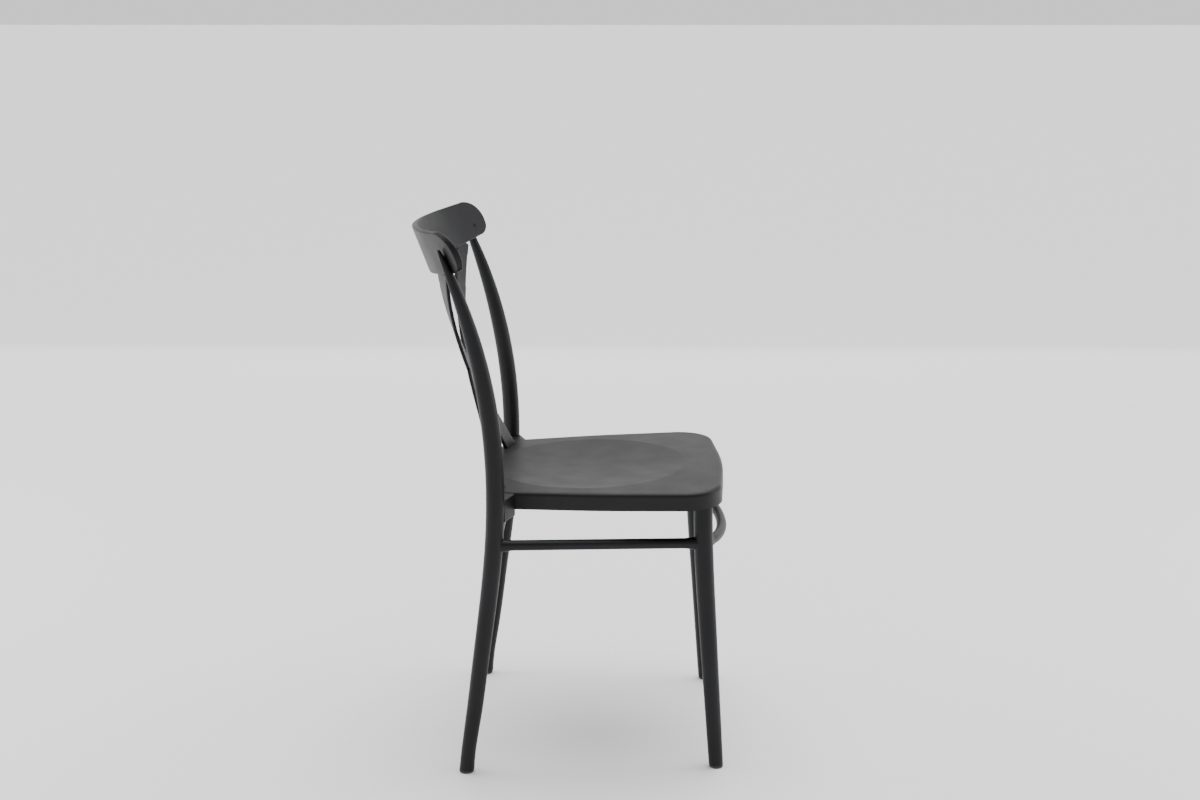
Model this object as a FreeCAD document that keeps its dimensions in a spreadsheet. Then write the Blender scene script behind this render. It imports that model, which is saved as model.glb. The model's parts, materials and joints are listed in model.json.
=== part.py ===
"""Cross-back stacking chair, built as an assembly of separate members.

Frame: millimetres, +Z up, the chair faces -Y, the floor is z = 0 and the origin is the
centre of the footprint.  Left pieces are on the -X side.
"""
import FreeCAD
import Part
import math
import os

V = FreeCAD.Vector
UP = V(0, 0, 1)

doc = FreeCAD.newDocument("StackingChair")
sheet = doc.addObject("Spreadsheet::Sheet", "Sizes")

SIZES = [
    # seat
    ("seat_height", 462), ("seat_tilt", 1.4), ("seat_front", 252), ("seat_back", 144),
    ("seat_front_half", 210), ("seat_back_half", 176), ("seat_corner", 62), ("seat_back_corner", 40),
    ("apron_depth", 28), ("seat_wall", 4), ("seat_panel", 5), ("dish_depth", 8), ("rim_round", 7),
    ("rib_wall", 3), ("rib_depth", 18), ("rib_pitch", 80),
    # rear posts
    ("post_offset", 215), ("post_line", 114.5), ("post_diameter", 29), ("post_foot_diameter", 24.2),
    ("post_top", 850), ("post_taper_start", 560), ("post_bow_radius", 920), ("rear_foot_line", 166.5),
    # front legs
    ("front_leg_offset", 165), ("front_leg_line", 212.5), ("front_leg_diameter", 30.4),
    ("front_foot_diameter", 23.4), ("front_foot_offset", 192), ("front_foot_line", 237.5),
    # top rail
    ("rail_bottom", 790), ("rail_half_width", 240.5), ("rail_middle_height", 80), ("rail_end_height", 63),
    ("rail_wall", 9), ("rail_bow_radius", 428), ("rail_lean", 20.8), ("rail_proud", 5),
    ("rail_edge_round", 2), ("rail_end_lower_round", 17),
    # cross slats
    ("slat_width", 32), ("slat_wall", 6), ("slat_top_offset", 165), ("slat_foot_offset", 132), ("cross_height", 622),
    ("slat_tenon", 9), ("slat_inset", 12),
    # stretchers
    ("stretcher_height", 372), ("stretcher_rise", 9), ("stretcher_diameter", 16.6), ("collar_diameter", 22),
    ("front_bow", 40), ("front_bow_drop", 20), ("tenon_diameter", 9), ("tenon_depth", 9.5),
    # brackets, glides and fasteners
    ("bracket_width", 29), ("bracket_height", 36), ("glide_thickness", 5), ("glide_stem", 8),
    ("glide_stem_length", 16), ("clearance", 0.15), ("screw_diameter", 5), ("pin_diameter", 3),
]
for row, (alias, value) in enumerate(SIZES, start=1):
    sheet.set(f"A{row}", alias)
    sheet.set(f"B{row}", str(value))
    sheet.setAlias(f"B{row}", alias)
doc.recompute()


def size(alias):
    """Value of one spreadsheet cell."""
    return float(sheet.get(alias))


# ---------------------------------------------------------------- document helpers
def bind(thing, **expressions):
    for prop, expression in expressions.items():
        thing.setExpression(prop, expression)
    return thing


def cylinder(name, radius, height, start, direction):
    """Cylinder whose radius and height are expressions; it runs from start along direction."""
    rod = bind(doc.addObject("Part::Cylinder", name), Radius=radius, Height=height)
    rod.Placement = FreeCAD.Placement(start, FreeCAD.Rotation(UP, direction))
    return rod


def cone(name, radius_start, radius_end, height, start, direction):
    body = bind(doc.addObject("Part::Cone", name), Radius1=radius_start, Radius2=radius_end, Height=height)
    body.Placement = FreeCAD.Placement(start, FreeCAD.Rotation(UP, direction))
    return body


def fuse(name, pieces):
    union = doc.addObject("Part::MultiFuse", name)
    union.Shapes = pieces
    union.Refine = False
    return union


def group(name, pieces):
    """Several separate solids held as one object."""
    bundle = doc.addObject("Part::Compound", name)
    bundle.Links = pieces
    return bundle


def cut(name, base, *tool_sets):
    """Base with each set of tools taken away in turn; the tools of one set don't overlap."""
    for number, tools in enumerate(tool_sets):
        tool = tools[0] if len(tools) == 1 else group(f"{name}_tools_{number}", tools)
        step = doc.addObject("Part::Cut", f"{name}_{number}")
        step.Base = base
        step.Tool = tool
        step.Refine = False
        base = step
    return base


def common(name, first, second):
    overlap = doc.addObject("Part::Common", name)
    overlap.Base = first
    overlap.Tool = second
    return overlap


def mirror(name, source):
    """The right-hand twin of a left-hand piece."""
    twin = doc.addObject("Part::Mirroring", name)
    twin.Source = source
    twin.Normal = V(1, 0, 0)
    return twin


def shape_object(name, shape):
    """Fixed geometry that no primitive gives, such as an outline of arcs."""
    holder = doc.addObject("Part::Feature", name)
    holder.Shape = shape
    return holder


def extrude(name, profile, length):
    prism = bind(doc.addObject("Part::Extrusion", name), LengthFwd=length)
    prism.Base = profile
    prism.DirMode = "Custom"
    prism.Dir = UP
    prism.Solid = True
    return prism


def loft(name, sections, ruled=False):
    skin = doc.addObject("Part::Loft", name)
    skin.Sections = sections
    skin.Solid = True
    skin.Ruled = ruled
    return skin


def round_corners(corners):
    """Closed outline through corners (x, y, radius): straight edges joined by tangent arcs.

    Returns the wire and the centre of each corner's arc.
    """
    count = len(corners)
    starts, middles, ends, centres = [], [], [], []
    for index, (x, y, radius) in enumerate(corners):
        corner = V(x, y, 0)
        before = (V(*corners[index - 1][:2], 0) - corner).normalize()
        after = (V(*corners[(index + 1) % count][:2], 0) - corner).normalize()
        half = before.getAngle(after) / 2
        inward = (before + after).normalize()
        centre = corner + inward * (radius / math.sin(half))
        starts.append(corner + before * (radius / math.tan(half)))
        ends.append(corner + after * (radius / math.tan(half)))
        middles.append(centre - inward * radius)
        centres.append(centre)
    edges = []
    for index in range(count):
        edges.append(Part.Arc(starts[index], middles[index], ends[index]).toShape())
        edges.append(Part.LineSegment(ends[index], starts[(index + 1) % count]).toShape())
    return Part.Wire(edges), centres


# ---------------------------------------------------------------- lines of the frame
def post_y(height):
    """Depth of the rear post's centre line: splayed leg, soft knee, then a back that leans away."""
    knee = size("seat_height") + 8
    if height >= knee:
        bow = size("post_bow_radius")
        return size("post_line") + bow - math.sqrt(bow ** 2 - (height - knee) ** 2)
    knee_length = 2 * 85
    slope = (size("rear_foot_line") - size("post_line")) / (knee - knee_length / 2)
    drop = min(knee - height, knee_length)
    below = max(knee - height - knee_length, 0)
    return size("post_line") + slope * (drop ** 2 / (2 * knee_length) + below)


def post_radius(height):
    """Radius of the post: the leg tapers to the foot, the back tapers to a point like half an ellipse."""
    full = size("post_diameter") / 2
    foot = size("post_foot_diameter") / 2
    leg_top = size("seat_height") - 80
    start = size("post_taper_start")
    if height > start:
        return full * math.sqrt(max(1 - ((height - start) / (size("post_top") - start)) ** 2, 0))
    return foot + (full - foot) * min(height / leg_top, 1)


def leg_centre(height):
    """Centre of the left front leg: splayed outwards, with its foot kicked forward."""
    top = size("seat_height") - 22
    bend = top * 0.68
    reach = (size("front_foot_offset") - size("front_leg_offset")) / top
    kick = (size("front_foot_line") - size("front_leg_line")) / (bend + (top - bend) / 2)
    rise = max(height - bend, 0)
    y = -size("front_foot_line") + kick * (height - rise ** 2 / (2 * (top - bend)))
    return V(-size("front_foot_offset") + reach * height, y, height)


def leg_radius(height):
    foot = size("front_foot_diameter") / 2
    full = size("front_leg_diameter") / 2
    return foot + (full - foot) * min(height / (size("seat_height") * 0.7), 1)


def post_centre(height):
    return V(-size("post_offset"), post_y(height), height)


def round_loft(name, heights, centre, radius):
    """Round member lofted through level circles at the given heights."""
    rings = []
    for index, height in enumerate(heights):
        ring = doc.addObject("Part::Circle", f"{name}_ring_{index}")
        ring.Radius = radius(height)
        ring.Placement.Base = centre(height)
        rings.append(ring)
    return loft(name, rings)


foot_level = size("glide_thickness")
taper = size("post_taper_start")
taper_length = size("post_top") - taper
post_heights = [foot_level + (taper - foot_level) * step / 6 for step in range(7)]
post_heights += [taper + taper_length * math.sin(math.radians(angle)) for angle in (14, 28, 42, 56, 69, 81)]
post_blank = round_loft("post_blank", post_heights, post_centre, post_radius)

leg_top_height = size("seat_height") - size("seat_panel") - size("dish_depth") - 2
leg_heights = [foot_level + (leg_top_height - foot_level) * step / 6 for step in range(7)]
leg_blank = round_loft("leg_blank", leg_heights, leg_centre, leg_radius)

# ---------------------------------------------------------------- top rail
lean = math.radians(size("rail_lean"))
bow_radius = size("rail_bow_radius")


def rail_sagitta(x):
    return bow_radius - math.sqrt(bow_radius ** 2 - x ** 2)


screw_level = size("post_top") - 20
post_sagitta = rail_sagitta(size("post_offset"))
rail_y = (post_y(screw_level) - size("rail_proud") + post_sagitta * math.cos(lean)
          - (screw_level - post_sagitta * math.sin(lean) - size("rail_bottom")) * math.tan(lean))
rail_place = FreeCAD.Placement(V(0, rail_y, size("rail_bottom")),
                               FreeCAD.Rotation(V(1, 0, 0), -size("rail_lean")))

half = size("rail_half_width")
end_lower = size("rail_end_lower_round")
end_upper = size("rail_end_height") - end_lower - 2
crown = 5.5
rail_outline, _ = round_corners([
    (-half, 0, end_lower), (half, 0, end_lower), (half, size("rail_end_height"), end_upper),
    (0, size("rail_middle_height") + crown, 1600), (-half, size("rail_end_height"), end_upper)])
rail_outline.rotate(V(0, 0, 0), V(1, 0, 0), 90)
rail_face = shape_object("rail_face", Part.Face(rail_outline))
rail_prism = bind(doc.addObject("Part::Extrusion", "rail_prism"), LengthFwd="Sizes.rail_half_width")
rail_prism.Base = rail_face
rail_prism.DirMode = "Custom"
rail_prism.Dir = V(0, -1, 0)
rail_prism.Solid = True
rail_tall = "Sizes.rail_middle_height * 2"
bow_base = V(0, -bow_radius, -size("rail_middle_height") / 2)
rail_ring = cut("rail_ring", cylinder("rail_rear_skin", "Sizes.rail_bow_radius", rail_tall, bow_base, UP),
                [cylinder("rail_front_skin", "Sizes.rail_bow_radius - Sizes.rail_wall", rail_tall, bow_base, UP)])
rail_square = common("rail_square", rail_ring, rail_prism)
doc.recompute()
rail_blank = doc.addObject("Part::Fillet", "rail_blank")
rail_blank.Base = rail_square
rail_blank.Edges = [(number, size("rail_edge_round"), size("rail_edge_round"))
                    for number, edge in enumerate(rail_square.Shape.Edges, start=1)
                    if abs(edge.BoundBox.XLength) + abs(edge.BoundBox.ZLength) > 0.5
                    and not (edge.BoundBox.XLength < 12 and edge.BoundBox.ZLength < 1)]
rail_blank.Placement = rail_place

# ---------------------------------------------------------------- seat outline
front = size("seat_front")
back = size("seat_back")
front_half = size("seat_front_half")
back_half = size("seat_back_half")
side_middle = V((front_half + back_half) / 2 + 3, -40, 0)
seat_corners = [
    (0, -front - 2, 900), (front_half + 2, -front + 14, size("seat_corner")),
    (side_middle.x, side_middle.y, 900), (back_half - 6, back - 22, size("seat_back_corner")),
    (0, back + 4, 500), (-back_half + 6, back - 22, size("seat_back_corner")),
    (-side_middle.x, side_middle.y, 900), (-front_half - 2, -front + 14, size("seat_corner"))]
seat_outline, seat_centres = round_corners(seat_corners)
back_corner_centre = seat_centres[5]

seat_pivot = V(0, -front / 2, 0)
seat_place = FreeCAD.Placement(V(0, 0, size("seat_height")), FreeCAD.Rotation(V(1, 0, 0), -size("seat_tilt")),
                               seat_pivot)
apron = V(0, 0, -size("apron_depth"))
outline_face = Part.Face(seat_outline)
outline_face.translate(apron)
inner_face = Part.Face(seat_outline.makeOffset2D(-size("seat_wall")))
inner_face.translate(apron)
seat_block = extrude("seat_block", shape_object("seat_face", outline_face), "Sizes.apron_depth")
seat_core = extrude("seat_core", shape_object("seat_inner_face", inner_face), "Sizes.apron_depth - Sizes.seat_panel")
doc.recompute()
seat_rounded = doc.addObject("Part::Fillet", "seat_rounded")
seat_rounded.Base = seat_block
seat_rounded.Edges = [(number, size("rim_round"), size("rim_round"))
                      for number, edge in enumerate(seat_block.Shape.Edges, start=1)
                      if edge.BoundBox.ZMin > -0.01]

dish_reach = back_half - 16
dish_radius = (dish_reach ** 2 + size("dish_depth") ** 2) / (2 * size("dish_depth"))
dish_centre = V(0, -30, dish_radius - size("dish_depth"))


def ball(name, radius):
    sphere = doc.addObject("Part::Sphere", name)
    sphere.Radius = radius
    sphere.Placement.Base = dish_centre
    return sphere


seat_hollow = cut("seat_hollow", seat_core, [ball("dish_underside", dish_radius + size("seat_panel"))])

rib_count = 2
ribs = []
rib_length = 2 * (front + back)
for step in range(-rib_count, rib_count + 1):
    for along_x in (True, False):
        rib = doc.addObject("Part::Box", f"rib_{'x' if along_x else 'y'}_{step + rib_count}")
        thin, long_way = ("Width", "Length") if along_x else ("Length", "Width")
        bind(rib, **{thin: "Sizes.rib_wall", "Height": "Sizes.rib_depth"})
        setattr(rib, long_way, rib_length)
        shift = step * size("rib_pitch") - size("rib_wall") / 2
        middle = (back - front) / 2
        level = -size("seat_panel") - size("rib_depth")
        rib.Placement.Base = (V(-rib_length / 2, middle + shift, level) if along_x
                              else V(shift, middle - rib_length / 2, level))
        ribs.append(rib)
rib_grid = fuse("rib_grid", ribs)

leg_entry = leg_centre(leg_top_height)
socket_outer = "Sizes.front_leg_diameter / 2 + Sizes.seat_wall"
sockets = []
for side in (-1, 1):
    start = V(side * abs(leg_entry.x), leg_entry.y, -size("apron_depth"))
    sockets.append(cylinder(f"socket_{side + 1}", socket_outer, "Sizes.apron_depth", start, UP))
seat_void = cut("seat_void", seat_hollow, [rib_grid], sockets)
seat_dished = cut("seat_dished", seat_rounded, [ball("dish", dish_radius)])
seat_moulding = cut("seat_moulding", seat_dished, [seat_void])
seat_moulding.Placement = seat_place

# ---------------------------------------------------------------- slats of the cross
rail_middle_y = rail_y - size("rail_wall") / 2 / math.cos(lean)
slat_bottom = size("seat_height") - size("dish_depth") - 6
slat_rise = size("rail_bottom") - slat_bottom
seat_slat_y = back - size("slat_inset")
sweep_back = rail_middle_y - seat_slat_y
curl = slat_rise * math.tan(lean) - sweep_back
top_x = size("slat_top_offset")
top_z = size("rail_bottom") + rail_sagitta(top_x) * math.sin(lean)


def slat_profile(height):
    """Depth of the sheet that both slats lie in, on the chair's centre plane."""
    share = (height - slat_bottom) / slat_rise
    return seat_slat_y + (sweep_back - curl) * share + curl * share ** 2


sheet_sag = slat_profile(top_z) - (rail_middle_y - rail_sagitta(top_x) * math.cos(lean))
sheet_radius = top_x ** 2 / (2 * sheet_sag)
rise_above = top_z - size("cross_height")
rise_below = size("cross_height") - slat_bottom
slat_curve = ((top_x / rise_above - size("slat_foot_offset") / rise_below) / (rise_above + rise_below))
slat_slope = top_x / rise_above - slat_curve * rise_above


def slat_point(height, side):
    """Centre line of a slat: it crosses the chair's centre plane at the crossing height."""
    above = height - size("cross_height")
    x = side * (slat_slope * above + slat_curve * above ** 2)
    return V(x, slat_profile(height) - x ** 2 / (2 * sheet_radius), height)


def slat_normal(height, side):
    x = slat_point(height, side).x
    lift = (slat_profile(height + 1) - slat_profile(height - 1)) / 2
    return V(x / sheet_radius, 1, -lift).normalize()


def slat_axes(height, side):
    """Centre of a slat at a height, with its directions across, through and along the ribbon."""
    along = (slat_point(height + 1, side) - slat_point(height - 1, side)).normalize()
    normal = slat_normal(height, side)
    across = along.cross(normal).normalize()
    return slat_point(height, side), across, normal, normal.cross(across) * -1


def slat_solid(name, side, width, wall):
    """Ribbon of the given width and wall from the rail's mortise to below the seat panel."""
    lowest = slat_bottom - size("seat_panel") - 4
    highest = top_z + size("slat_tenon")
    sections = []
    spans = 18
    for step in range(spans + 1):
        centre, across, through, _ = slat_axes(lowest + (highest - lowest) * step / spans, side)
        across = across * (width / 2)
        through = through * (wall / 2)
        section = doc.addObject("Part::Polygon", f"{name}_section_{step}")
        section.Nodes = [centre + across + through, centre - across + through,
                         centre - across - through, centre + across - through]
        section.Close = True
        sections.append(section)
    return loft(name, sections, ruled=True)


def slat_box(name, height, side, gap, front, rear, length):
    """Straight box along a slat at a height, from front to rear of the ribbon's middle."""
    centre, across, through, along = slat_axes(height, side)
    width = size("slat_width") + 2 * gap
    block = doc.addObject("Part::Box", name)
    block.Length = width
    block.Width = rear - front
    block.Height = length
    block.Placement = FreeCAD.Placement(
        centre - across * (width / 2) + through * front - along * (length / 2),
        FreeCAD.Rotation(across, through, along, "ZXY"))
    return block


slat_gap = 2 * size("clearance")
rising_blank = slat_solid("rising_blank", 1, size("slat_width"), size("slat_wall"))
falling_blank = slat_solid("falling_blank", -1, size("slat_width"), size("slat_wall"))
mortises = [slat_solid(f"mortise_{side + 1}", side, size("slat_width") + slat_gap, size("slat_wall") + slat_gap)
            for side in (-1, 1)]
slot_gap = 3 * slat_gap
slot_half = size("slat_wall") / 2 + slot_gap
seat_slots = [slat_box(f"seat_slot_{side + 1}", slat_bottom, side, slot_gap, -slot_half, slot_half, 50)
              for side in (-1, 1)]

# the slats are half-lapped: the rising one keeps its rear half, the falling one its front half
cross_height = size("cross_height")
cross_point = slat_point(cross_height, 1)
cross_normal = slat_normal(cross_height, 1)
past_wall = size("slat_wall") * 2
notch_length = size("slat_width") * 2.5
rising_notched = cut("rising_notched", rising_blank, [
    slat_box("front_notch", cross_height, -1, slat_gap, -past_wall, 0, notch_length)])
falling_notched = cut("falling_notched", falling_blank, [
    slat_box("rear_notch", cross_height, 1, slat_gap, 0, past_wall, notch_length)])

rivet_radius = "Sizes.pin_diameter / 2 + 0.5"
rivet_start = cross_point - cross_normal * (size("slat_wall") / 2)
rivet_hole = cylinder("rivet_hole", rivet_radius + " + Sizes.clearance", "Sizes.slat_wall", rivet_start, cross_normal)
rising_slat = cut("rising_drilled", rising_notched, [rivet_hole])
falling_slat = cut("falling_drilled", falling_notched, [rivet_hole])
rivet_end = cross_point + cross_normal * (size("slat_wall") / 2)
cross_rivet = fuse("rivet", [
    cylinder("rivet_shank", rivet_radius, "Sizes.slat_wall", rivet_start, cross_normal),
    cone("rivet_front_head", "5", "3.6", "1.2", rivet_start, -cross_normal),
    cone("rivet_rear_head", "5", "3.6", "1.2", rivet_end, cross_normal)])


# ---------------------------------------------------------------- stretchers
def tenon(name, centre, radius, direction, grow=""):
    """Round tenon that starts inside a leg at centre and comes out of it along direction."""
    start = centre + direction * (radius - size("tenon_depth") - (0.5 if grow else 0))
    length = "Sizes.tenon_depth + 4"
    return cylinder(name, "Sizes.tenon_diameter / 2" + grow, length, start, direction)


HOLE = " + Sizes.clearance"
rod = "Sizes.stretcher_diameter / 2"
collar = "Sizes.collar_diameter / 2"

front_end = leg_centre(size("stretcher_height"))
rear_end = post_centre(size("stretcher_height") + size("stretcher_rise"))
front_radius = leg_radius(front_end.z)
rear_radius = post_radius(rear_end.z)


def collar_cone(name, centre, radius, direction):
    """Flare where a stretcher meets a leg."""
    return cone(name, collar, rod, "20", centre + direction * (radius - 5), direction)


side_axis = (rear_end - front_end).normalize()
side_rod = cylinder("side_rod", rod, str((rear_end - front_end).Length), front_end, side_axis)
side_bar = fuse("side_bar", [side_rod, collar_cone("side_front_collar", front_end, front_radius, side_axis),
                             collar_cone("side_rear_collar", rear_end, rear_radius, -side_axis)])
left_side_stretcher = fuse("side_stretcher", [
    cut("side_coped", side_bar, [leg_blank, post_blank]),
    tenon("side_front_tenon", front_end, front_radius, side_axis),
    tenon("side_rear_tenon", rear_end, rear_radius, -side_axis)])
side_holes = [tenon("side_front_hole", front_end, front_radius, side_axis, HOLE),
              tenon("side_rear_hole", rear_end, rear_radius, -side_axis, HOLE)]

# the front stretcher bows forward and down between the front legs
bow = size("front_bow")
chord = -front_end.x
front_curve = (chord ** 2 + bow ** 2) / (2 * bow)
half_sweep = math.asin(chord / front_curve)
drop = math.radians(size("front_bow_drop"))
outward = V(0, -math.cos(drop), -math.sin(drop))
bow_centre = V(0, front_end.y, front_end.z) - outward * (front_curve - bow)
ring_start = (front_end - bow_centre).normalize()
ring_axis = V(1, 0, 0).cross(outward) * -1
front_ring = bind(doc.addObject("Part::Torus", "front_ring"), Radius2=rod)
front_ring.Radius1 = front_curve
front_ring.Angle3 = math.degrees(2 * half_sweep)
front_ring.Placement = FreeCAD.Placement(
    bow_centre, FreeCAD.Rotation(ring_start, ring_axis.cross(ring_start), ring_axis, "ZXY"))
front_tangent = ring_axis.cross(ring_start).normalize()
right_end = V(-front_end.x, front_end.y, front_end.z)
right_tangent = V(-front_tangent.x, front_tangent.y, front_tangent.z)
leg_twin = mirror("leg_twin", leg_blank)
post_twin = mirror("post_twin", post_blank)
front_bar = fuse("front_bar", [
    front_ring, collar_cone("front_left_collar", front_end, front_radius, front_tangent),
    collar_cone("front_right_collar", right_end, front_radius, right_tangent)])
front_stretcher = fuse("front_rod", [
    cut("front_coped", front_bar, [leg_blank, leg_twin]),
    tenon("front_left_tenon", front_end, front_radius, front_tangent),
    tenon("front_right_tenon", right_end, front_radius, right_tangent)])
front_hole = tenon("front_hole", front_end, front_radius, front_tangent, HOLE)

# the rear stretcher runs straight between the rear legs, below the side stretchers' ends
back_level = rear_end.z - size("stretcher_diameter")
back_end = post_centre(back_level)
back_radius = post_radius(back_level)
inward = V(1, 0, 0)
back_bar = fuse("back_bar", [
    cylinder("back_straight", rod, "2 * Sizes.post_offset", back_end, inward),
    collar_cone("back_left_collar", back_end, back_radius, inward),
    collar_cone("back_right_collar", V(-back_end.x, back_end.y, back_end.z), back_radius, -inward)])
rear_stretcher = fuse("back_rod", [
    cut("back_coped", back_bar, [post_blank, post_twin]),
    tenon("back_left_tenon", back_end, back_radius, inward),
    tenon("back_right_tenon", V(-back_end.x, back_end.y, back_end.z), back_radius, -inward)])
back_hole = tenon("back_hole", back_end, back_radius, inward, HOLE)


# ---------------------------------------------------------------- fasteners
def screw(name, start, direction, length, head_radius=4.2, head_height=2.6):
    """Pan-head screw with a hexagon recess; start is under the head."""
    shank = cylinder(f"{name}_shank", "Sizes.screw_diameter / 2", str(length), start, direction)
    head = cylinder(f"{name}_head", str(head_radius), str(head_height), start, -direction)
    recess = doc.addObject("Part::Prism", f"{name}_recess")
    recess.Circumradius = 1.8
    recess.Height = head_height
    recess.Placement = FreeCAD.Placement(start - direction * (head_height * 0.35),
                                         FreeCAD.Rotation(UP, -direction))
    return cut(f"{name}_screw", fuse(f"{name}_solid", [shank, head]), [recess])


def screw_hole(name, start, direction, length):
    return cylinder(name, "Sizes.screw_diameter / 2" + HOLE, str(length + 1), start, direction)


def both_sides(name, left_pieces):
    """The left fasteners and their mirror images as separate solids in one object."""
    left = group(f"{name}_left", left_pieces)
    return group(name, [left, mirror(f"{name}_right", left)])


# bracket screws run from inside the seat's rear corner into the post
corner = V(back_corner_centre.x, back_corner_centre.y, 0)
post_spot = V(-size("post_offset"), post_y(size("seat_height") - 20), 0)
bracket_axis = (post_spot - corner).normalize()
bracket_span = (post_spot - corner).Length
head_seat = corner + bracket_axis * (size("seat_back_corner") - size("seat_wall") - 0.3)
bracket_screw_length = bracket_span - size("seat_back_corner") + size("seat_wall") - 2
seat_edge_level = seat_place.multVec(V(0, corner.y, 0)).z
screw_levels = [seat_edge_level - 12.5, seat_edge_level - 22.5]
bracket_screws = []
bracket_holes = []
for number, level in enumerate(screw_levels):
    start = V(head_seat.x, head_seat.y, level)
    bracket_screws.append(screw(f"bracket_{number}", start, bracket_axis, bracket_screw_length))
    bracket_holes.append(screw_hole(f"bracket_hole_{number}", start, bracket_axis, bracket_screw_length))

# seat brackets
web = doc.addObject("Part::Box", "web")
bind(web, Width="Sizes.bracket_width", Height="Sizes.bracket_height")
web.Length = bracket_span
web_turn = FreeCAD.Rotation(bracket_axis, UP.cross(bracket_axis), UP, "ZXY")
web_start = corner - UP.cross(bracket_axis) * (size("bracket_width") / 2)
web.Placement = FreeCAD.Placement(V(web_start.x, web_start.y, seat_edge_level - 2 - size("bracket_height")), web_turn)
seat_envelope = extrude("seat_envelope", shape_object("seat_face_again", outline_face), "Sizes.apron_depth * 3")
envelope_drop = V(0, 0, -size("apron_depth"))
seat_envelope.Placement = seat_place.multiply(FreeCAD.Placement(envelope_drop, FreeCAD.Rotation()))
left_bracket = cut("bracket", web, [seat_envelope, post_blank], bracket_holes)

# leg screws run through the socket wall into the front leg
leg_screw_level = seat_place.multVec(V(0, leg_entry.y, 0)).z - size("dish_depth") - 11
leg_hub = leg_centre(leg_screw_level)
socket_radius = size("front_leg_diameter") / 2 + size("seat_wall")
leg_screw_axis = V(-1, -1, 0).normalize()
leg_screw_start = leg_hub - leg_screw_axis * socket_radius
leg_screws = [screw("leg", leg_screw_start, leg_screw_axis, 13)]
leg_hole = screw_hole("leg_hole", leg_screw_start, leg_screw_axis, 13)

# rail screws run from the rail's front into the post's tip
turn = math.asin(size("post_offset") / bow_radius)
rail_screw_rise = 20
flush = rail_place.multVec(V(-math.sin(turn) * (bow_radius - size("rail_wall")),
                             math.cos(turn) * (bow_radius - size("rail_wall")) - bow_radius, rail_screw_rise))
rail_axis = rail_place.Rotation.multVec(V(-math.sin(turn), math.cos(turn), 0))
rail_screw_start = flush + rail_axis * 2.8
rail_screws = [screw("rail", rail_screw_start, rail_axis, 9)]
rail_hole = screw_hole("rail_hole", rail_screw_start, rail_axis, 8.2)
rail_sink = cylinder("rail_sink", "4.4", "8", rail_screw_start, -rail_axis)


# stretcher pins lock each tenon from the side that faces the chair's middle
def lock_pin(name, centre, radius, axis, direction, grow="", longer=0):
    """Pin across a tenon: it enters the leg's skin and passes through the tenon."""
    middle = centre + axis * (radius - size("tenon_depth") / 2)
    half_chord = math.sqrt(max(radius ** 2 - (radius - size("tenon_depth") / 2) ** 2, 1))
    start = middle - direction * (half_chord - 1.2)
    return cylinder(name, "Sizes.pin_diameter / 2" + grow, str(half_chord + 4 + longer), start, direction)


pin_places = [
    ("side_front", front_end, front_radius, side_axis, V(-1, 0, 0)),
    ("side_rear", rear_end, rear_radius, -side_axis, V(-1, 0, 0)),
    ("front", front_end, front_radius, front_tangent, V(0, 0, 1)),
    ("back", back_end, back_radius, inward, V(0, 1, 0))]
pins = [lock_pin(f"{name}_pin", *place) for name, *place in pin_places]
pin_holes = {name: lock_pin(f"{name}_pin_hole", *place, HOLE, 0.5) for name, *place in pin_places}


# ---------------------------------------------------------------- glides
def glide(name, centre, foot_radius):
    """Foot glide: a pad with a softened edge and a stem pressed into the leg."""
    base = V(centre(0).x, centre(0).y, 0)
    edge = 1.2
    pad = cylinder(f"{name}_pad", f"{foot_radius} - 0.4", f"Sizes.glide_thickness - {edge}", base + UP * edge, UP)
    bottom = cone(f"{name}_bottom", f"{foot_radius} - 0.4 - {edge}", f"{foot_radius} - 0.4", str(edge), base, UP)
    stem = cylinder(f"{name}_stem", "Sizes.glide_stem / 2", "Sizes.glide_stem_length",
                    base + UP * (foot_level - 0.5), UP)
    return fuse(f"{name}_glide", [pad, bottom, stem])


def glide_hole(name, centre):
    base = V(centre(0).x, centre(0).y, foot_level - 1)
    return cylinder(name, "Sizes.glide_stem / 2" + HOLE, "Sizes.glide_stem_length + 1.5", base, UP)


left_rear_glide = glide("rear", post_centre, "Sizes.post_foot_diameter / 2")
left_front_glide = glide("front", leg_centre, "Sizes.front_foot_diameter / 2")

# ---------------------------------------------------------------- finished members
left_rear_post = cut(
    "rear_post", post_blank,
    [side_holes[1], back_hole, rail_hole, glide_hole("rear_stem_hole", post_centre)] + bracket_holes,
    [pin_holes["side_rear"], pin_holes["back"]])
left_front_leg = cut(
    "front_leg", leg_blank, [side_holes[0], front_hole, leg_hole, glide_hole("front_stem_hole", leg_centre)],
    [pin_holes["side_front"], pin_holes["front"]])
left_side_finished = cut("side_stretcher_drilled", left_side_stretcher,
                         [pin_holes["side_front"], pin_holes["side_rear"]])
front_pins = [pin_holes["front"], mirror("front_pin_hole_right", pin_holes["front"])]
back_pins = [pin_holes["back"], mirror("back_pin_hole_right", pin_holes["back"])]
front_finished = cut("front_rod_drilled", front_stretcher, front_pins)
back_finished = cut("back_rod_drilled", rear_stretcher, back_pins)

post_socket = round_loft("post_socket", post_heights, post_centre, lambda level: post_radius(level) + 0.15)
leg_socket = round_loft("leg_socket", leg_heights[4:], leg_centre, lambda level: leg_radius(level) + 0.15)


def with_mirror(tool):
    return [tool, mirror(f"{tool.Name}_right", tool)]


top_rail = cut("rail", rail_blank, *([mortise] for mortise in mortises), with_mirror(post_socket),
               with_mirror(rail_hole), with_mirror(rail_sink))
seat_tools = with_mirror(leg_socket) + seat_slots
for hole in bracket_holes:
    seat_tools += with_mirror(hole)
seat_shell = cut("seat", seat_moulding, seat_tools, with_mirror(leg_hole))

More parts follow.
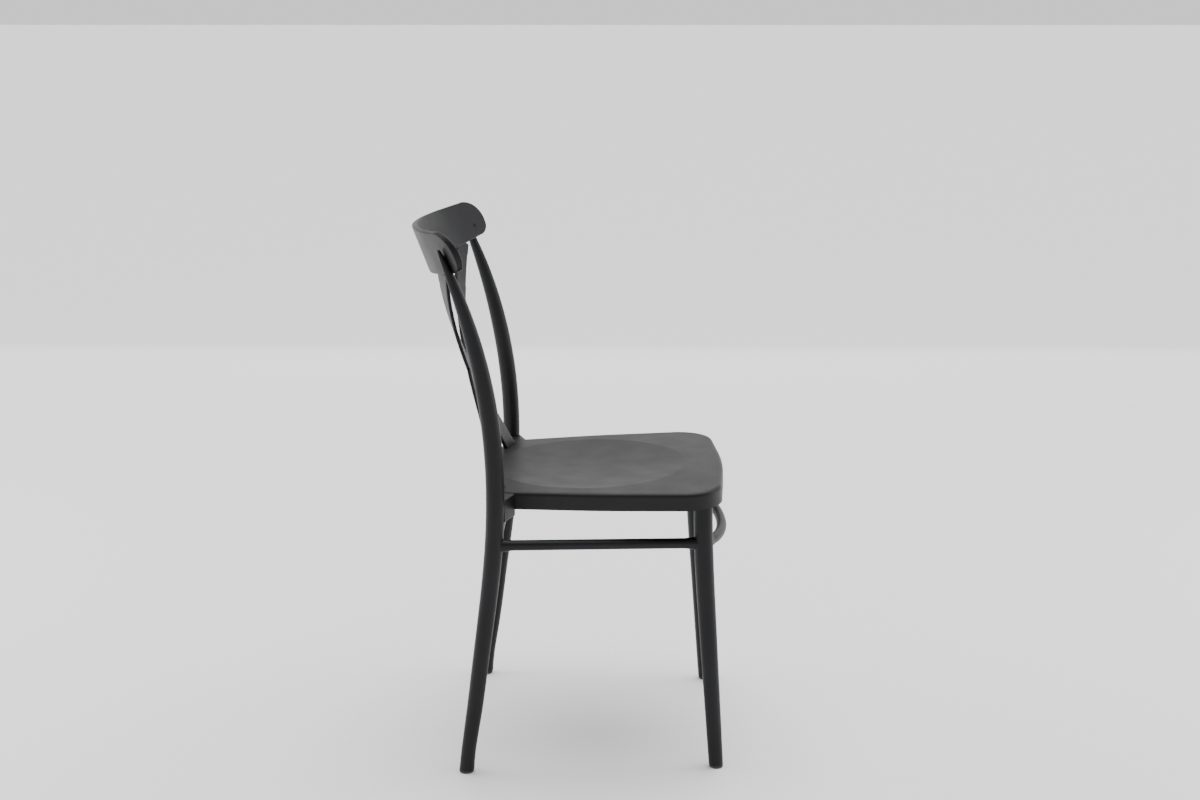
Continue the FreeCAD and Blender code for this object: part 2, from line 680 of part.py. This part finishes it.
NODES = {
    "seat_shell": seat_shell,
    "top_rail": top_rail,
    "rising_slat": rising_slat,
    "falling_slat": falling_slat,
    "front_stretcher": front_finished,
    "rear_stretcher": back_finished,
    "cross_rivet": cross_rivet,
    "bracket_screws": both_sides("bracket_screw_set", bracket_screws),
    "leg_screws": both_sides("leg_screw_set", leg_screws),
    "rail_screws": both_sides("rail_screw_set", rail_screws),
    "stretcher_pins": both_sides("stretcher_pin_set", pins),
}
HANDED = {
    "rear_post": left_rear_post,
    "front_leg": left_front_leg,
    "side_stretcher": left_side_finished,
    "seat_bracket": left_bracket,
    "rear_glide": left_rear_glide,
    "front_glide": left_front_glide,
}
for name, piece in HANDED.items():
    NODES[f"left_{name}"] = piece
    NODES[f"right_{name}"] = mirror(f"twin_{name}", piece)

doc.recompute()

# ---------------------------------------------------------------- checks, then one file per piece
for item in doc.Objects:
    if "Invalid" in item.State or "Error" in item.State:
        raise RuntimeError(f"{item.Name} failed: {item.State}")
for name, piece in NODES.items():
    piece.Label = name
    if piece.Shape.isNull() or not piece.Shape.isValid() or not piece.Shape.Solids:
        raise RuntimeError(f"{name} has no valid solid")

os.makedirs("parts", exist_ok=True)
whole = Part.makeCompound([piece.Shape for piece in NODES.values()])
box = whole.BoundBox
print(f"size {box.XLength:.1f} x {box.YLength:.1f} x {box.ZLength:.1f}, y from {box.YMin:.1f} to {box.YMax:.1f}")
for name, piece in NODES.items():
    piece.Shape.exportStep(f"parts/{name}.step")
    print(f"{name}: {len(piece.Shape.Solids)} solid(s), {piece.Shape.Volume / 1000:.1f} cm3")
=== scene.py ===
# %% [markdown]
# # A cross-back stacking chair in charcoal resin
# The chair's members come from the CAD model, in metres, and stay exactly where it puts them.
# Blender gives them their moulded look. Members whose edges are sharp in CAD get soft, rounded
# edges here, because a resin moulding never leaves its mould with a knife edge.

# %% Load the frame
import bmesh
import bpy
import json
import math
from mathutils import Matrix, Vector


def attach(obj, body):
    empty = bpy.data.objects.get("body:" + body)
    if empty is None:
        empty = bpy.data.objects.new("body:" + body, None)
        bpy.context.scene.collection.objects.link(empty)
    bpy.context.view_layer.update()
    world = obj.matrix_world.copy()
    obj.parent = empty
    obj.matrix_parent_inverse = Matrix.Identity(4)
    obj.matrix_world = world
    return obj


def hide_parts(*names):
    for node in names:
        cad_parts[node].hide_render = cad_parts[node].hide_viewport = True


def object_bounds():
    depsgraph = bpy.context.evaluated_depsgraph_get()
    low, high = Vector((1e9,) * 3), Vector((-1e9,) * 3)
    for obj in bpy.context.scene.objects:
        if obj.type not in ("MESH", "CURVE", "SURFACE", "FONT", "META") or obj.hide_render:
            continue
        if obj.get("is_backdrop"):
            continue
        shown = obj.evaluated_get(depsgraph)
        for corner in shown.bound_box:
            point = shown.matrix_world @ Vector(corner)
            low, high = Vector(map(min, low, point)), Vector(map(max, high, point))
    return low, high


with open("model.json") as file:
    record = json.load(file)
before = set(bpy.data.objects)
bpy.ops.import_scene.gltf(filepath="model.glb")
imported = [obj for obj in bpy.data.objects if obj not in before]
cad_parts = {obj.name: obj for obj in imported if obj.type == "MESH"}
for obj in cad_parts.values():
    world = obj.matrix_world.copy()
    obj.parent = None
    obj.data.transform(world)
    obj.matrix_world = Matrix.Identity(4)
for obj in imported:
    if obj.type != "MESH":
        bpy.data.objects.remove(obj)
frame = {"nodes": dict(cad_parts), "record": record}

cad_low, cad_high = (Vector(corner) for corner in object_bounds())
MM = 0.001
middle = (cad_low + cad_high) / 2
print("chair box in metres:", [round(side, 3) for side in cad_high - cad_low])

# %% [markdown]
# ## The camera
# The chair is seen almost square on from its left side, from 1.2 m up and a little under three
# metres away, looking down by 12.7 degrees. That is close enough for the near legs to look clearly
# lower than the far ones, so the distance matters as much as the angle. The aim is given as a
# direction, because a point to look at would hide the small turn to the left.

# %% Camera
camera = bpy.data.objects.new("side_camera", bpy.data.cameras.new("side_camera"))
bpy.context.scene.collection.objects.link(camera)
bpy.context.scene.camera = camera
camera.location = Vector((-2.8269, -0.0763, 1.2048))
aim = Vector((0.9754, 0.0102, -0.2201))
camera.rotation_euler = aim.to_track_quat("-Z", "Y").to_euler()
camera.data.lens = 52.25
camera.data.sensor_width = 36
print("camera looks down by", round(math.degrees(math.pi / 2 - camera.rotation_euler.x), 1), "degrees")

# %% [markdown]
# ## Colours and nodes
# Colours are written as sRGB hex, the way a paint card gives them, and one function turns them
# into the linear values that shaders need. A second function adds one shader node, with its
# settings, its links and, for a colour ramp, its stops, so that each material below reads as a
# short recipe.


# %% Colour and node helpers
def linear(hex_colour):
    """sRGB hex such as '2b2b2f' as a linear RGBA colour."""
    channels = [int(hex_colour[start:start + 2], 16) / 255 for start in (0, 2, 4)]
    return [c / 12.92 if c <= 0.04045 else ((c + 0.055) / 1.055) ** 2.4 for c in channels] + [1.0]


def add(tree, kind, settings=None, inputs=None, stops=()):
    """Adds a node; an input is a value, or another node's output socket to link from."""
    node = tree.nodes.new(kind)
    for number, (position, colour) in enumerate(stops):  # a new ramp has the two stops used here
        node.color_ramp.elements[number].position = position
        node.color_ramp.elements[number].color = linear(colour)
    for name, value in (settings or {}).items():
        setattr(node, name, value)
    for name, value in (inputs or {}).items():
        if isinstance(value, bpy.types.NodeSocket):
            tree.links.new(value, node.inputs[name])
        else:
            node.inputs[name].default_value = value
    return node


def new_material(name):
    material = bpy.data.materials.new(name)
    material.use_nodes = True
    tree = material.node_tree
    tree.nodes.clear()
    return material, tree, add(tree, "ShaderNodeTexCoord").outputs["Object"]


def scale_for(millimetres):
    """Noise scale whose features are about this size."""
    return 1 / (millimetres * MM)


print("helpers ready; charcoal is", [round(c, 3) for c in linear("2b2b2f")])

# %% [markdown]
# ## Moulded charcoal resin
# The members are taken to be injection-moulded polypropylene, coloured right through. Three things
# give such a moulding away. A spark-eroded mould leaves a very fine grain in the skin. The resin
# cools as it flows, so its colour drifts by a shade over a hand's width. Handling polishes the
# skin, so its gloss comes and goes in soft patches. Such a grain is usually about 0.3 mm, too fine
# to show from across a room, so it is drawn at 1.1 mm on the frame and 1.4 mm on the seat. The
# base colours are darker than the chair looks, because the pale floor mirrored in the skin adds
# to them. A low specular level keeps that reflection down.


# %% Resin material
DRIFT_SIZE = 120    # mm, patches of slightly different colour
POLISH_SIZE = 45    # mm, patches rubbed smoother by hands
PIT_DEPTH = 0.12    # mm, depth of the grain
POLYPROPYLENE_IOR = 1.49


def moulded_resin(name, dark, light, grain, bump, gloss):
    """Resin from dark to light hex, with grain in mm; gloss is the roughness it varies about."""
    material, tree, place = new_material(name)
    drift = add(tree, "ShaderNodeTexNoise", inputs={
        "Vector": place, "Scale": scale_for(DRIFT_SIZE), "Detail": 2.0, "Roughness": 0.5})
    polish = add(tree, "ShaderNodeTexNoise", inputs={
        "Vector": place, "Scale": scale_for(POLISH_SIZE), "Detail": 2.0, "Roughness": 0.5})
    pits = add(tree, "ShaderNodeTexNoise", inputs={
        "Vector": place, "Scale": scale_for(grain), "Detail": 3.0, "Roughness": 0.55})
    colour = add(tree, "ShaderNodeValToRGB", inputs={"Fac": drift.outputs["Fac"]},
                 stops=[(0.3, dark), (0.7, light)])
    fleck = add(tree, "ShaderNodeValToRGB", inputs={"Fac": pits.outputs["Fac"]},
                stops=[(0.35, "e2e2e2"), (0.6, "ffffff")])
    # A Mix node has a set of sockets for each type of data: 6 and 7 in, 2 out are the colour ones.
    mixed = add(tree, "ShaderNodeMix", {"data_type": "RGBA", "blend_type": "MULTIPLY"}, {
        0: 0.6, 6: colour.outputs["Color"], 7: fleck.outputs["Color"]})
    sheen = add(tree, "ShaderNodeMapRange", inputs={
        "Value": polish.outputs["Fac"], "From Min": 0.3, "From Max": 0.7,
        "To Min": gloss - 0.025, "To Max": gloss + 0.03})
    relief = add(tree, "ShaderNodeBump", inputs={
        "Height": pits.outputs["Fac"], "Strength": bump, "Distance": PIT_DEPTH * MM})
    shader = add(tree, "ShaderNodeBsdfPrincipled", inputs={
        "Base Color": mixed.outputs[2], "Roughness": sheen.outputs["Result"],
        "Normal": relief.outputs["Normal"], "IOR": POLYPROPYLENE_IOR,
        "Specular IOR Level": 0.25})
    add(tree, "ShaderNodeOutputMaterial", inputs={"Surface": shader.outputs["BSDF"]})
    return material


frame_resin = moulded_resin("moulded_polypropylene_charcoal", "0d0d10", "141418", 1.1, 0.3, 0.44)
seat_resin = moulded_resin("moulded_polypropylene_seat_grain", "0e0e10", "151517", 1.4, 0.35, 0.46)
print("resins:", frame_resin.name, seat_resin.name)

# %% [markdown]
# ## Nylon glides and zinc-plated steel
# A glide is turned black nylon: matt, and scuffed grey where it slides on the floor. The scuffs
# follow height, so they stay in the lowest few millimetres. The fasteners are zinc-plated steel,
# passivated black so that they don't show against the resin. It is a metal with a slightly uneven,
# cloudy roughness.

# %% Nylon and steel
SCUFF_SIZE = 2.5    # mm, width of a scratch on a glide
SCUFF_HEIGHT = 3.5  # mm, how far up a glide the floor wears it
CLOUD_SIZE = 1.8    # mm, blotches in the zinc
NYLON_IOR = 1.53

glide_nylon, tree, place = new_material("turned_black_nylon")
height = add(tree, "ShaderNodeSeparateXYZ", inputs={"Vector": place}).outputs["Z"]
scuff = add(tree, "ShaderNodeTexNoise", inputs={
    "Vector": place, "Scale": scale_for(SCUFF_SIZE), "Detail": 5.0, "Roughness": 0.7})
low_down = add(tree, "ShaderNodeMapRange", inputs={
    "Value": height, "From Min": 0.0, "From Max": SCUFF_HEIGHT * MM, "To Min": 0.75, "To Max": 0.0})
worn = add(tree, "ShaderNodeMath", {"operation": "MULTIPLY"}, {
    0: low_down.outputs["Result"], 1: scuff.outputs["Fac"]})
scuffed = add(tree, "ShaderNodeValToRGB", inputs={"Fac": worn.outputs["Value"]},
              stops=[(0.0, "161618"), (0.6, "6a6964")])
shader = add(tree, "ShaderNodeBsdfPrincipled", inputs={
    "Base Color": scuffed.outputs["Color"], "Roughness": 0.62, "IOR": NYLON_IOR})
add(tree, "ShaderNodeOutputMaterial", inputs={"Surface": shader.outputs["BSDF"]})

black_zinc_steel, tree, place = new_material("black_zinc_plated_steel")
cloud = add(tree, "ShaderNodeTexNoise", inputs={
    "Vector": place, "Scale": scale_for(CLOUD_SIZE), "Detail": 4.0, "Roughness": 0.6})
clouded = add(tree, "ShaderNodeValToRGB", inputs={"Fac": cloud.outputs["Fac"]},
              stops=[(0.3, "242426"), (0.7, "333336")])
shader = add(tree, "ShaderNodeBsdfPrincipled", inputs={
    "Base Color": clouded.outputs["Color"],
    "Roughness": add(tree, "ShaderNodeMapRange", inputs={
        "Value": cloud.outputs["Fac"], "To Min": 0.3, "To Max": 0.5}).outputs["Result"],
    "Metallic": 1.0})
add(tree, "ShaderNodeOutputMaterial", inputs={"Surface": shader.outputs["BSDF"]})
print("small parts:", glide_nylon.name, black_zinc_steel.name)

# %% [markdown]
# ## Finishes on the CAD members
# A CAD member's mesh is never edited. Only its material changes here. The record says which slot
# each node takes its finish from, so the finishes follow the record.

# %% Dress the CAD members
FINISH = {"frame_resin": frame_resin, "seat_resin": seat_resin,
          "glide_nylon": glide_nylon, "fastener_steel": black_zinc_steel}
slot_of = {part["node"]: part["material_slot"] for part in frame["record"]["subparts"]}
for name, member in frame["nodes"].items():
    member.data.materials.clear()
    member.data.materials.append(FINISH[slot_of[name]])
print("dressed", len(frame["nodes"]), "members")

# %% [markdown]
# ## Soft edges
# The slats and the brackets are square-edged in CAD. A moulding's edges are usually rounded by a
# millimetre or two. A copy of each mesh is merged, then a voxel remesh gives it even little faces,
# and a few rounds of smoothing wear its edges away, just as a tumbler rounds a pebble. The broad
# faces are many voxels across, so smoothing leaves them where they are. The corners of notches
# are worn in the same way.


# %% Rounded twins of the square-edged members
MERGE_DISTANCE = 0.02  # mm, closes the loose triangles of a CAD mesh


def soften(node, voxel, rounds):
    """Rounded copy of a CAD member, which stands for it; voxel is in mm."""
    source = frame["nodes"][node]
    shape = bmesh.new()
    shape.from_mesh(source.data)
    bmesh.ops.remove_doubles(shape, verts=shape.verts, dist=MERGE_DISTANCE * MM)
    bmesh.ops.recalc_face_normals(shape, faces=shape.faces)
    rough = bpy.data.meshes.new(f"soft_{node}")
    shape.to_mesh(rough)
    shape.free()
    piece = bpy.data.objects.new(f"soft_{node}", rough)
    bpy.context.scene.collection.objects.link(piece)
    remesh = piece.modifiers.new("even_faces", "REMESH")
    remesh.mode = "VOXEL"
    remesh.voxel_size = voxel * MM
    smooth = piece.modifiers.new("worn_edges", "SMOOTH")
    smooth.factor = 0.5
    smooth.iterations = rounds
    bpy.context.view_layer.update()
    evaluated = piece.evaluated_get(bpy.context.evaluated_depsgraph_get())
    finished = bpy.data.meshes.new_from_object(evaluated)
    piece.modifiers.clear()
    piece.data = finished
    finished.polygons.foreach_set("use_smooth", [True] * len(finished.polygons))
    finished.materials.clear()
    finished.materials.append(FINISH[slot_of[node]])
    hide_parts(node)
    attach(piece, "root")
    print(piece.name, len(finished.polygons), "faces")


for slat in ("rising_slat", "falling_slat"):
    soften(slat, 1.2, 5)
for side in ("left", "right"):
    soften(f"{side}_seat_bracket", 1.0, 6)

# %% [markdown]
# ## Floor and light
# A plain pale floor runs back into a pale surround, so nothing competes with the dark chair. The
# light is soft and comes from above. A wide sun lights the seat, the leaning rail and all the
# floor alike. One panel beyond the chair mirrors in the seat top at a low angle and brightens it.
# Two tall panels behind and in front draw thin bright lines down the round legs. The side towards
# the camera gets least, so it stays nearly black.

# %% Floor
FLOOR_REACH = 120  # metres each way, so that little surround shows above its edge

floor_shape = bmesh.new()
bmesh.ops.create_grid(floor_shape, x_segments=1, y_segments=1, size=FLOOR_REACH)
floor_mesh = bpy.data.meshes.new("studio_floor")
floor_shape.to_mesh(floor_mesh)
floor_shape.free()
floor = bpy.data.objects.new("studio_floor", floor_mesh)
bpy.context.scene.collection.objects.link(floor)
# matt paint on plaster, which spreads light evenly and shows no highlight
floor_paint, tree, _ = new_material("pale_studio_paint")
shader = add(tree, "ShaderNodeBsdfPrincipled", inputs={
    "Base Color": linear("f4f4f4"), "Roughness": 0.9})
add(tree, "ShaderNodeOutputMaterial", inputs={"Surface": shader.outputs["BSDF"]})
floor_mesh.materials.append(floor_paint)
floor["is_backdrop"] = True


# %% Light panels
def panel(name, place, width, length, watts):
    """Soft rectangular light aimed at the middle of the chair."""
    light = bpy.data.lights.new(name, "AREA")
    light.shape = "RECTANGLE"
    light.size = width
    light.size_y = length
    light.energy = watts
    lamp = bpy.data.objects.new(name, light)
    lamp.location = place
    lamp.rotation_euler = (middle - Vector(place)).to_track_quat("-Z", "Y").to_euler()
    lamp.visible_camera = False
    bpy.context.scene.collection.objects.link(lamp)


panel("far_panel", (3.2, 0.0, 1.1), 5.0, 2.0, 22)
panel("rear_panel", (0.5, 2.6, 1.3), 1.4, 2.2, 26)
panel("front_panel", (0.6, -2.6, 1.2), 1.4, 2.2, 20)

sun = bpy.data.lights.new("soft_sun", "SUN")
sun.energy = 4.0
sun.angle = math.radians(70)
sun_lamp = bpy.data.objects.new("soft_sun", sun)
sun_lamp.rotation_euler = (math.radians(6), math.radians(14), 0)
bpy.context.scene.collection.objects.link(sun_lamp)

world = bpy.data.worlds.new("pale_surround")
bpy.context.scene.world = world
world.use_nodes = True
sky = world.node_tree
sky.nodes.clear()
direction = add(sky, "ShaderNodeTexCoord").outputs["Generated"]
upward = add(sky, "ShaderNodeSeparateXYZ", inputs={"Vector": direction}).outputs["Z"]
# bright at the horizon, where it meets the floor, and dimmer overhead
glow = add(sky, "ShaderNodeMapRange", inputs={
    "Value": upward, "From Min": 0.02, "From Max": 0.5, "To Min": 1.0, "To Max": 0.35})
backing = add(sky, "ShaderNodeBackground", inputs={
    "Color": linear("ffffff"), "Strength": glow.outputs["Result"]})
add(sky, "ShaderNodeOutputWorld", inputs={"Surface": backing.outputs["Background"]})
print("three panels, a soft sun and a pale surround")

# %% Measure how much both boxes differ and finish
look_low, look_high = (Vector(corner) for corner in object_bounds())
growth = (look_high - look_low) - (cad_high - cad_low)
print("growth in mm:", [round(grow / MM, 2) for grow in growth])
